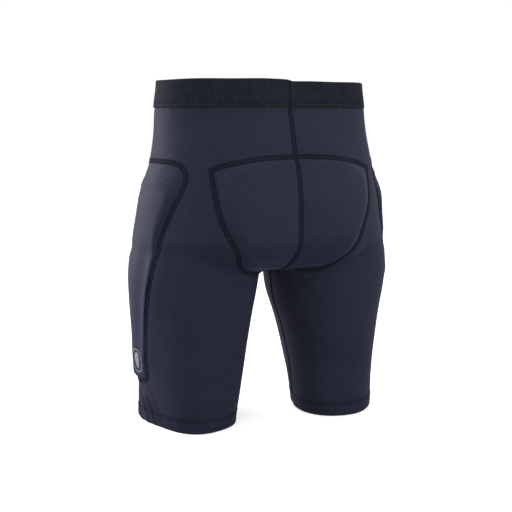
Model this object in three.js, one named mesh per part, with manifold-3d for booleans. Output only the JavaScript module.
// Padded impact shorts, worn shape, standing on their leg hems.
// Millimetres, +Z up. +X is the wearer's left, +Y the wearer's back, z = 0 the hem plane.
import * as THREE from 'three';
import { mergeVertices } from 'three/addons/utils/BufferGeometryUtils.js';
import Module from 'manifold-3d';

const wasm = await Module();
wasm.setup();

// ---------------------------------------------------------------- driving dimensions
const OUTSEAM = 450;          // waist edge to hem
const BAND_H = 35;            // waistband height
const HEM_H = 20;             // folded leg hem height
const FABRIC = 1.2;           // knit shell thickness
const HEM_T = 1.9;            // folded double hem thickness
const BAND_IN = 0.2;          // inner face of the waistband above the body surface
const BAND_OUT = 2.4;         // outer face of the waistband above the body surface
const GAP = 0.3;              // clearance between neighbouring pieces
const LINING = 0.6;           // mesh lining behind the pads
const HIP_PAD = 6.0;          // hip pad foam thickness
const SEAT_PAD = 4.4;         // seat and tailbone pad foam thickness
const SEAM_W = 5.0;           // flatlock seam width
const THREAD = 0.6;           // thread thickness of the flatlock seams and the waistband join
const TAIL_HALF = 18;         // half width of the tailbone pad, before clearance
const INSEAM_Y = 2;
const INSEAM_TOP = 215;
const HIP_Y = 10;             // hip axis, parallel to X
const HIP_Z = 255;
const HIP_X = 125;            // legs own everything outboard of this near the axis
const DISC_R = 118;           // round field of the leg beside the hip axis
const THIGH_R = 138;          // round cut through the inner thigh
const CUT = 0.5;              // running clearance at the hip cuts
const CENTRE_Y = 16.686;      // middle of the front-to-back extent, moved to the origin
const HIP_FACETS = 36;
const LEG_FACETS = 26;

const PAD_IN = LINING + GAP;  // inner face of every pad
const HIP_PAD_OUT = PAD_IN + HIP_PAD;
const SEAT_PAD_OUT = PAD_IN + SEAT_PAD;
const SEAM_IN = FABRIC + GAP;
const SEAM_HALF = SEAM_W / 2;
const BAND_BOTTOM = OUTSEAM - BAND_H;
const BODY_TOP = BAND_BOTTOM - GAP;

// ---------------------------------------------------------------- body stations
// z, half width, front depth, back depth, front exponent, back exponent, seat lobe
const HIPS = [
  [470, 139.0, 91.5, 91.5, 1.80, 2.50, 0], [450, 139.0, 91.5, 91.5, 1.80, 2.50, 0],
  [415, 143.6, 93.5, 94, 1.78, 2.50, 0], [385, 145.6, 96, 102.5, 1.77, 2.50, 1],
  [350, 150.6, 98.5, 111.5, 1.78, 2.50, 3], [325, 155.0, 98.8, 117, 1.83, 2.50, 5],
  [290, 160.5, 98, 122.3, 2.00, 2.50, 8], [255, 165.5, 96, 122.5, 2.25, 2.50, 9],
  [237, 167.5, 88, 116, 2.40, 2.45, 9.5], [224, 167.5, 68, 101, 2.40, 2.40, 9],
  [214, 150, 48, 82, 2.20, 2.30, 6], [206, 110, 28, 55, 2.0, 2.2, 2],
  [201, 60, 13, 25, 2.0, 2.0, 0], [199.5, 14, 4, 8, 2.0, 2.0, 0],
];
// z, centre x, centre y, half width, half depth, outward turn in degrees (left leg)
const LEG = [
  [268, 93, 5, 38, 44, 0], [255, 91.5, 5, 66, 72, 0], [238, 91, 5, 75.5, 85, 0],
  [222, 91.6, 4, 77.8, 88, 1], [205, 93.4, 3.6, 77.6, 89.0, 1.5],
  [185, 96.0, 3.5, 75.4, 88.4, 2.6], [150, 98.6, 3.7, 70.4, 85.6, 5.7],
  [110, 101.4, 3.9, 64.6, 82.0, 9.2], [70, 104.4, 4.2, 59.8, 78.2, 12.8],
  [35, 107.2, 4.5, 56.2, 74.6, 15.9], [0, 110.4, 4.7, 53.6, 70.8, 18.8],
  [-20, 110.4, 4.7, 53.6, 70.8, 18.8],
];
const LEG_POWER = 2.4;        // superellipse exponent of the leg sections
const DROP_H = 54;            // below the hip axis, height over which offsets also turn downward
// heights of the loft rings
const HIP_RINGS = [470, 415, 385, 350, 320, 290, 255, 237, 224, 214, 206, 201, 199.6];
const LEG_RINGS = [267, 255, 238, 222, 205, 185, 150, 110, 70, 35, 0, -20];

// Monotone cubic interpolation of a station table: z -> the remaining columns
function interpolate(rows) {
  const stations = [...rows].sort((p, q) => p[0] - q[0]);
  const heights = stations.map((row) => row[0]);
  const columns = stations[0].slice(1).map((_, k) => stations.map((row) => row[k + 1]));
  const steps = heights.slice(1).map((height, i) => height - heights[i]);
  const slopes = columns.map((values) => {
    const rates = steps.map((step, i) => (values[i + 1] - values[i]) / step);
    return values.map((_, i) => {
      if (i === 0) return rates[0];
      if (i === steps.length) return rates[i - 1];
      if (rates[i - 1] * rates[i] <= 0) return 0;
      const before = 2 * steps[i] + steps[i - 1];
      const after = steps[i] + 2 * steps[i - 1];
      return (before + after) / (before / rates[i - 1] + after / rates[i]);
    });
  });
  return (z) => {
    let i = 0;
    while (i < heights.length - 2 && z > heights[i + 1]) i++;
    const step = steps[i];
    const s = (z - heights[i]) / step;
    const startValue = 2 * s ** 3 - 3 * s ** 2 + 1;
    const startSlope = s ** 3 - 2 * s ** 2 + s;
    const endValue = -2 * s ** 3 + 3 * s ** 2;
    const endSlope = s ** 3 - s ** 2;
    return columns.map((values, k) => startValue * values[i] + startSlope * step * slopes[k][i]
      + endValue * values[i + 1] + endSlope * step * slopes[k][i + 1]);
  };
}
const hipsAt = interpolate(HIPS);
const legAt = interpolate(LEG);

const signedPower = (value, power) => Math.sign(value) * Math.abs(value) ** power;
const clampUnit = (value) => Math.min(1, Math.max(0, value));
const snapZero = (value) => (Math.abs(value) < 1e-9 ? 0 : value);

// Rings run anticlockwise seen from above, so lofted faces point outward.
function hipsRing(z, offset) {
  const [halfWidth, frontDepth, backDepth, frontPower, backPower, lobe] = hipsAt(z);
  const drop = offset * clampUnit((HIP_Z - z) / DROP_H);
  return Array.from({ length: HIP_FACETS }, (_, i) => {
    const angle = (2 * Math.PI * i) / HIP_FACETS;
    const cos = Math.cos(angle);
    const front = cos > 0;
    const power = 2 / (front ? frontPower : backPower);
    const x = (halfWidth + offset) * signedPower(snapZero(Math.sin(angle)), power);
    const reach = Math.abs(snapZero(cos)) ** power;
    if (front) return [x, -(frontDepth + offset) * reach, z - drop];
    const across = clampUnit(Math.abs(x) / (0.9 * halfWidth));
    const bulge = lobe * Math.sin(Math.PI * across) ** 1.3;
    return [x, (backDepth + offset) * reach + bulge, z - drop];
  });
}

function legRing(z, offset) {
  const [centreX, centreY, halfWidth, halfDepth, degrees] = legAt(z);
  const cos = Math.cos(degrees * Math.PI / 180);
  const sin = Math.sin(degrees * Math.PI / 180);
  return Array.from({ length: LEG_FACETS }, (_, i) => {
    const angle = (2 * Math.PI * i) / LEG_FACETS;
    const dx = -(halfWidth + offset) * signedPower(Math.cos(angle), 2 / LEG_POWER);
    const dy = -(halfDepth + offset) * signedPower(Math.sin(angle), 2 / LEG_POWER);
    return [centreX + cos * dx - sin * dy, centreY + sin * dx + cos * dy, z];
  });
}

// ---------------------------------------------------------------- solids
function fromTriangles(positions, indices) {
  return new wasm.Manifold(new wasm.Mesh({
    numProp: 3,
    vertProperties: new Float32Array(positions),
    triVerts: new Uint32Array(indices),
  }));
}

// closed loft through rings listed from the top down
function loft(rings) {
  const count = rings[0].length;
  const last = (rings.length - 1) * count;
  const middle = (ring) => ring.reduce((sum, point) => sum.map((v, k) => v + point[k] / count),
    [0, 0, 0]);
  const positions = [...rings.flat(), middle(rings[0]), middle(rings[rings.length - 1])].flat();
  const topCentre = rings.length * count;
  const indices = [];
  for (let upper = 0; upper < last; upper += count) {
    const lower = upper + count;
    for (let i = 0; i < count; i++) {
      const j = (i + 1) % count;
      indices.push(upper + i, lower + j, upper + j, upper + i, lower + i, lower + j);
    }
  }
  for (let i = 0; i < count; i++) {
    const j = (i + 1) % count;
    indices.push(topCentre, i, j, topCentre + 1, last + j, last + i);
  }
  return fromTriangles(positions, indices);
}

function fromGeometry(geometry) {
  geometry.deleteAttribute('normal');
  geometry.deleteAttribute('uv');
  const merged = mergeVertices(geometry, 1e-4);
  return fromTriangles(merged.attributes.position.array, merged.index.array);
}

function box([x0, x1], [y0, y1], [z0, z1]) {
  const geometry = new THREE.BoxGeometry(x1 - x0, y1 - y0, z1 - z0);
  geometry.translate((x0 + x1) / 2, (y0 + y1) / 2, (z0 + z1) / 2);
  return fromGeometry(geometry);
}

// cylinder about the hip axis
function hipCylinder(radius, x0, x1) {
  const geometry = new THREE.CylinderGeometry(radius, radius, x1 - x0, 64);
  geometry.rotateZ(Math.PI / 2);
  geometry.translate((x0 + x1) / 2, HIP_Y, HIP_Z);
  return fromGeometry(geometry);
}

// outline extruded along the third axis of the basis
function prism(points, basis, depth, start) {
  const shape = new THREE.Shape(points.map(([u, v]) => new THREE.Vector2(u, v)));
  const geometry = new THREE.ExtrudeGeometry(shape, { depth, bevelEnabled: false, steps: 1 });
  geometry.applyMatrix4(new THREE.Matrix4().makeBasis(...basis));
  geometry.translate(...start);
  return fromGeometry(geometry);
}
const X = new THREE.Vector3(1, 0, 0);
const Y = new THREE.Vector3(0, 1, 0);
const Z = new THREE.Vector3(0, 0, 1);
const FORWARD = Y.clone().negate();
const sidePrism = (points) => prism(points, [Y, Z, X], 120, [95, 0, 0]);        // (y, z), left
const backPrism = (points) => prism(points, [X, Z, FORWARD], 215, [0, 220, 0]); // (x, z), back
const planPrism = (points) => prism(points, [X, Y, Z], 400, [0, 0, 150]);       // (x, y)

const flip = (piece) => piece.mirror([1, 0, 0]);
const withMirror = (piece) => piece.add(flip(piece));

// the wearer's shape grown outward: hips joined with both legs, left half mirrored to the right
const wearerCache = new Map();
function wearer(offset) {
  if (!wearerCache.has(offset)) {
    const hips = loft(HIP_RINGS.map((z) => hipsRing(z, offset)));
    const leg = loft(LEG_RINGS.map((z) => legRing(z, offset)));
    const left = hips.add(leg).intersect(box([0, 300], [-300, 300], [-100, 600]));
    wearerCache.set(offset, withMirror(left));
  }
  return wearerCache.get(offset);
}
const between = (inner, outer) => wearer(outer).subtract(wearer(inner));

// ---------------------------------------------------------------- cutting regions
const FRONT_TO_BACK = [-200, 220];
const BAND_BACK = [10, 200];      // y range for details at the back of waist and band
const SEAM_BACK = [20, 220];      // y range for the seams at centre back
const FLOOR = -60;                // below the hems

const slab = (z0, z1) => box([-200, 200], FRONT_TO_BACK, [z0, z1]);
// everything on one side (1 left, -1 right), starting a little off the centre plane
const half = (side, inset = GAP / 2) => box(side > 0 ? [inset, 220] : [-220, -inset],
  FRONT_TO_BACK, [FLOOR, 500]);

// ---------------------------------------------------------------- outlines
const signedArea = (points) => points.reduce((sum, [x, y], i) => {
  const [nextX, nextY] = points[(i + 1) % points.length];
  return sum + x * nextY - nextX * y;
}, 0) / 2;

// grow (distance > 0) or shrink (distance < 0) a closed outline with mitred corners
function grow(points, distance) {
  const turn = signedArea(points) > 0 ? 1 : -1;
  const edgeNormal = (from, to) => {
    const du = to[0] - from[0];
    const dv = to[1] - from[1];
    const length = Math.hypot(du, dv);
    return [turn * dv / length, -turn * du / length];
  };
  return points.map((point, i) => {
    const normalIn = edgeNormal(points[(i + points.length - 1) % points.length], point);
    const normalOut = edgeNormal(point, points[(i + 1) % points.length]);
    const mitre = [normalIn[0] + normalOut[0], normalIn[1] + normalOut[1]];
    const scale = 2 * distance / Math.max(0.5, mitre[0] * mitre[0] + mitre[1] * mitre[1]);
    return [point[0] + mitre[0] * scale, point[1] + mitre[1] * scale];
  });
}
const mirrorHalf = (points) => [
  ...points,
  ...points.filter(([x]) => x > 1e-6).map(([x, z]) => [-x, z]).reverse(),
];

// side panel seam line, (y, z) on the wearer's left
const SIDE = [
  [75, 322], [72.5, 306], [67.5, 290], [60.5, 270], [55.5, 248], [51.5, 227], [47, 203],
  [41.5, 184], [34.5, 162], [26, 135], [20.5, 114], [15.5, 88], [13, 71], [6, 60], [-14, 54.5],
  [-36, 53.5], [-52, 57.5], [-58, 71], [-58.5, 92], [-57, 120], [-54, 160], [-50, 200],
  [-47, 240], [-46, 275], [-46, 305], [-44, 325], [-36, 338], [-20, 345.5], [0, 348],
  [20, 348], [38, 348], [55, 347], [66, 343], [73, 335],
];
// hip pad pocket edge, (y, z) on the wearer's left
const HIP_EDGE = [
  [57.5, 309], [59.5, 299], [57, 286], [52, 270], [48, 250], [44.5, 228], [41, 205],
  [35.5, 184], [28.5, 162], [19, 135], [12.5, 114], [7.5, 88], [4, 74], [-5, 65], [-22, 62],
  [-40, 63.5], [-49, 73], [-51, 93], [-49.5, 120], [-46.5, 160], [-42.5, 200], [-39.5, 240],
  [-38, 270], [-37, 292], [-33, 306], [-22, 315], [-5, 318], [15, 319], [35, 318.5], [49, 316],
];
// seat panel seam line, (x, z), mirrored about the centre back
const SEAT = mirrorHalf([
  [0, 354], [25, 353.6], [50, 352], [77, 348], [95, 343.8], [109, 338.5], [109, 325],
  [107.5, 306], [104.5, 290], [98, 272], [90.5, 256], [82, 241], [74, 226], [64.5, 214.5],
  [54.5, 208], [44, 205], [29, 204], [0, 204],
]);
// seat pad pocket edge, (x, z), mirrored about the centre back
const SEAT_EDGE = mirrorHalf([
  [0, 345], [40, 344.5], [66, 341.5], [80, 336.5], [88.5, 326], [90.5, 311], [88, 293],
  [82, 273], [75.5, 255], [69.5, 240], [62, 229], [51, 221.8], [37, 218.5], [20, 217.5],
  [0, 217.5],
]);

// region behind the crotch in plan, grown toward the front
const crotchPlan = (distance) => planPrism([
  [-160, 45 - distance], [-60, 45 - distance], [-30, 60 - distance],
  [30, 60 - distance], [60, 45 - distance], [160, 45 - distance],
  [160, 170], [-160, 170],
]);
const sideField = (distance) => sidePrism(grow(SIDE, distance));
const seatField = (distance) => backPrism(grow(SEAT, distance)).intersect(crotchPlan(distance));

// Left leg's side of the hip cut; a positive distance grows the leg side.
function legField(distance) {
  const below = (x0) => box([x0, 260], FRONT_TO_BACK, [FLOOR, HIP_Z]);
  const disc = hipCylinder(DISC_R + distance, HIP_X - distance, 260);
  const thigh = below(0).subtract(hipCylinder(THIGH_R - distance, -1, 261));
  return disc.add(below(HIP_X - distance)).add(thigh);
}
const legLeft = legField(0);
const legsGrown = withMirror(legField(CUT));

// ---------------------------------------------------------------- meshes
const LOOKS = {
  shell: { color: 0x2c2e3d, roughness: 0.82 },
  panel: { color: 0x30323f, roughness: 0.8 },
  band: { color: 0x22252e, roughness: 0.9 },
  thread: { color: 0x1b1d28, roughness: 0.9 },
  hem: { color: 0x2a2c3a, roughness: 0.84 },
  pad: { color: 0x1f2126, roughness: 0.7 },
  mesh: { color: 0x3b3e48, roughness: 0.95 },
  mark: { color: 0x9698a5, roughness: 0.6 },
  label: { color: 0xd9d9d6, roughness: 0.85 },
};
const group = new THREE.Group();
group.name = 'padded_impact_shorts';

// adds a piece, which must be one body apart from slivers under 0.5 cubic mm
function put(name, piece, look) {
  const bodies = piece.decompose().filter((body) => Math.abs(body.volume()) > 0.5);
  if (bodies.length !== 1) throw new Error(`${name}: ${bodies.length} bodies`);
  const { vertProperties, triVerts } = bodies[0].getMesh();
  const geometry = new THREE.BufferGeometry();
  const positions = new Float32Array(vertProperties);
  geometry.setAttribute('position', new THREE.BufferAttribute(positions, 3));
  geometry.setIndex(new THREE.BufferAttribute(new Uint32Array(triVerts), 1));
  geometry.translate(0, -CENTRE_Y, 0);
  geometry.computeVertexNormals();
  const material = new THREE.MeshStandardMaterial({ ...LOOKS[look], metalness: 0 });
  const mesh = new THREE.Mesh(geometry, material);
  mesh.name = name;
  group.add(mesh);
}

// ---------------------------------------------------------------- shared layers
const shell = between(0, FABRIC);
const seamLayer = between(SEAM_IN, SEAM_IN + THREAD);

// a panel with a raised pad pocket: flat flange at the seam, wall, top over the pad
function tray(flange, prismOf, edge, padOut) {
  return wearer(FABRIC).intersect(flange)
    .add(wearer(padOut + GAP + FABRIC).intersect(prismOf(edge)))
    .subtract(wearer(padOut + GAP).intersect(prismOf(grow(edge, -FABRIC))))
    .subtract(wearer(0));
}
const insidePocket = (prismOf, edge) => prismOf(grow(edge, -FABRIC - GAP));
const pad = (prismOf, edge, padOut) => between(PAD_IN, padOut)
  .intersect(insidePocket(prismOf, edge));
const lining = (prismOf, edge) => between(0, LINING).intersect(insidePocket(prismOf, edge));
// seam thread straddling the edge of a field
const edgeSeam = (field) => seamLayer.intersect(field(SEAM_HALF)).subtract(field(-SEAM_HALF));

// ---------------------------------------------------------------- waistband
function addWaistband() {
  const joinHalf = 2.2;
  const joinClearHalf = 2.6;
  const threadIn = BAND_OUT + GAP;
  put('waistband', between(BAND_IN, BAND_OUT).intersect(slab(BAND_BOTTOM, OUTSEAM)), 'band');
  put('waistband_join_stitch', between(threadIn, threadIn + THREAD)
    .intersect(box([-joinHalf, joinHalf], BAND_BACK, [BAND_BOTTOM + 1.5, OUTSEAM - 1.5])),
  'thread');
  put('waistband_seam_stitch', between(threadIn, threadIn + 0.5)
    .intersect(slab(BAND_BOTTOM + 4, BAND_BOTTOM + 6))
    .subtract(box([-joinClearHalf, joinClearHalf], BAND_BACK, [380, 460])), 'thread');
}

// ---------------------------------------------------------------- knit body
// one layer with the seat, side panels and inseams cut out; the hip cut divides it
function knitBody() {
  const inseamSlit = box([1, 95], [INSEAM_Y - GAP / 2, INSEAM_Y + GAP / 2], [FLOOR, INSEAM_TOP]);
  return shell.subtract(seatField(GAP / 2))
    .subtract(withMirror(sideField(GAP / 2)))
    .subtract(withMirror(inseamSlit));
}
const body = knitBody();

function addBodyPanels() {
  const upper = body.intersect(slab(100, BODY_TOP)).subtract(legsGrown);
  put('body_panel_left', upper.intersect(half(1)), 'shell');
  put('body_panel_right', upper.intersect(half(-1)), 'shell');
}

// ---------------------------------------------------------------- seat
// two panels over three pads, mesh lining behind them
function addSeat() {
  const seatTray = tray(seatField(-GAP / 2), backPrism, SEAT_EDGE, SEAT_PAD_OUT);
  put('seat_panel_left', seatTray.intersect(half(1)), 'panel');
  put('seat_panel_right', seatTray.intersect(half(-1)), 'panel');
  const seatPad = pad(backPrism, SEAT_EDGE, SEAT_PAD_OUT);
  put('seat_pad_left', seatPad.intersect(half(1, TAIL_HALF + GAP)), 'pad');
  put('seat_pad_right', seatPad.intersect(half(-1, TAIL_HALF + GAP)), 'pad');
  const tailbone = box([-TAIL_HALF + GAP, TAIL_HALF - GAP], [0, 220], [232, 360]);
  put('tailbone_pad', seatPad.intersect(tailbone), 'pad');
  put('seat_lining', lining(backPrism, SEAT_EDGE), 'mesh');
}

// straight top, U round the bottom, centre line over the pads
function addSeatSeams() {
  const uTop = 333.9;
  const seatRing = edgeSeam(seatField);
  put('seat_top_seam', seatRing.intersect(slab(uTop + GAP, 400)), 'thread');
  put('seat_u_seam', seatRing.intersect(slab(150, uTop)), 'thread');
  const overSeat = (offset) => wearer(FABRIC + offset)
    .add(wearer(SEAT_PAD_OUT + GAP + FABRIC + offset)
      .intersect(backPrism(grow(SEAT_EDGE, offset))));
  put('seat_center_seam', overSeat(GAP + THREAD).subtract(overSeat(GAP))
    .intersect(seatField(-SEAM_HALF - GAP))
    .intersect(box([-SEAM_HALF, SEAM_HALF], SEAM_BACK, [150, 400])), 'thread');
}

function addCentreSeams() {
  const strip = (ys, bottom) => seamLayer
    .intersect(box([-SEAM_HALF, SEAM_HALF], ys, [bottom, BODY_TOP]));
  put('center_back_seam', strip(SEAM_BACK, 340).subtract(seatField(SEAM_HALF + GAP)), 'thread');
  put('center_front_seam', strip([-200, 56.5], 150), 'thread');
}

// inside the back, just under the waistband
function addCareLabel() {
  put('care_label', between(-0.9, -0.3)
    .intersect(box([-15, 15], BAND_BACK, [374, BAND_BOTTOM - 3])), 'label');
}

// ---------------------------------------------------------------- legs, wearer's left
const legPanel = () => body.intersect(slab(HEM_H + GAP, 400)).intersect(legLeft);
const sidePanel = () => tray(sideField(-GAP / 2), sidePrism, HIP_EDGE, HIP_PAD_OUT);
const hemBand = () => between(0, HEM_T).intersect(slab(0, HEM_H)).intersect(half(1));
const hemStitch = () => between(HEM_T + GAP, HEM_T + GAP + 0.4)
  .intersect(slab(HEM_H - 4.2, HEM_H - 0.6))
  .intersect(half(1));
const inseamStrip = (x0, z0) => seamLayer
  .intersect(box([x0, 100], [INSEAM_Y - SEAM_HALF, INSEAM_Y + SEAM_HALF], [z0, INSEAM_TOP]));

// the part of the inseam above the hip cut
function addUpperInseams() {
  const inseamUpper = inseamStrip(SEAM_HALF + GAP, 100).subtract(legsGrown);
  put('inseam_upper_left', inseamUpper, 'thread');
  put('inseam_upper_right', flip(inseamUpper), 'thread');
}

function addLegs() {
  const leftPieces = {
    leg_panel: [legPanel(), 'shell'],
    side_panel: [sidePanel(), 'panel'],
    hip_pad: [pad(sidePrism, HIP_EDGE, HIP_PAD_OUT), 'pad'],
    hip_pad_lining: [lining(sidePrism, HIP_EDGE), 'mesh'],
    side_panel_seam: [edgeSeam(sideField), 'thread'],
    hem_band: [hemBand(), 'hem'],
    hem_stitch: [hemStitch(), 'thread'],
    inseam: [inseamStrip(0, HEM_H + 2 * GAP).intersect(legLeft), 'thread'],
  };
  for (const side of ['left', 'right']) {
    for (const [name, [piece, look]] of Object.entries(leftPieces)) {
      put(`${name}_${side}`, side === 'left' ? piece : flip(piece), look);
    }
  }
}

// ---------------------------------------------------------------- emblem
// round mark low on the left side panel: a ring with an upright leaf inside
const MARK_Y = -11;
const MARK_Z = 83;
const MARK_R = 16;
const MARK_RING_W = 2.2;
const MARK_T = 0.4;
// leaf outline, (y, z) from the mark's centre
const LEAF = [
  [-2.4, -15], [0.4, -15], [3.6, -8], [5.2, 0], [3.8, 8],
  [1.6, 15], [-1.2, 15], [-4.4, 8], [-5.6, 0], [-4.8, -8],
];

function markDisc(radius) {
  const facets = 32;
  return sidePrism(Array.from({ length: facets }, (_, i) => {
    const angle = 2 * Math.PI * i / facets;
    return [MARK_Y + radius * Math.cos(angle), MARK_Z + radius * Math.sin(angle)];
  }));
}

function addEmblem() {
  const markIn = HIP_PAD_OUT + GAP + FABRIC + GAP;
  const ring = markDisc(MARK_R).subtract(markDisc(MARK_R - MARK_RING_W));
  const leaf = sidePrism(LEAF.map(([y, z]) => [MARK_Y + y, MARK_Z + z]))
    .intersect(markDisc(MARK_R));
  put('emblem_left', between(markIn, markIn + MARK_T).intersect(ring.add(leaf)), 'mark');
}

addWaistband();
addBodyPanels();
addSeat();
addSeatSeams();
addCentreSeams();
addCareLabel();
addUpperInseams();
addLegs();
addEmblem();

export default group;
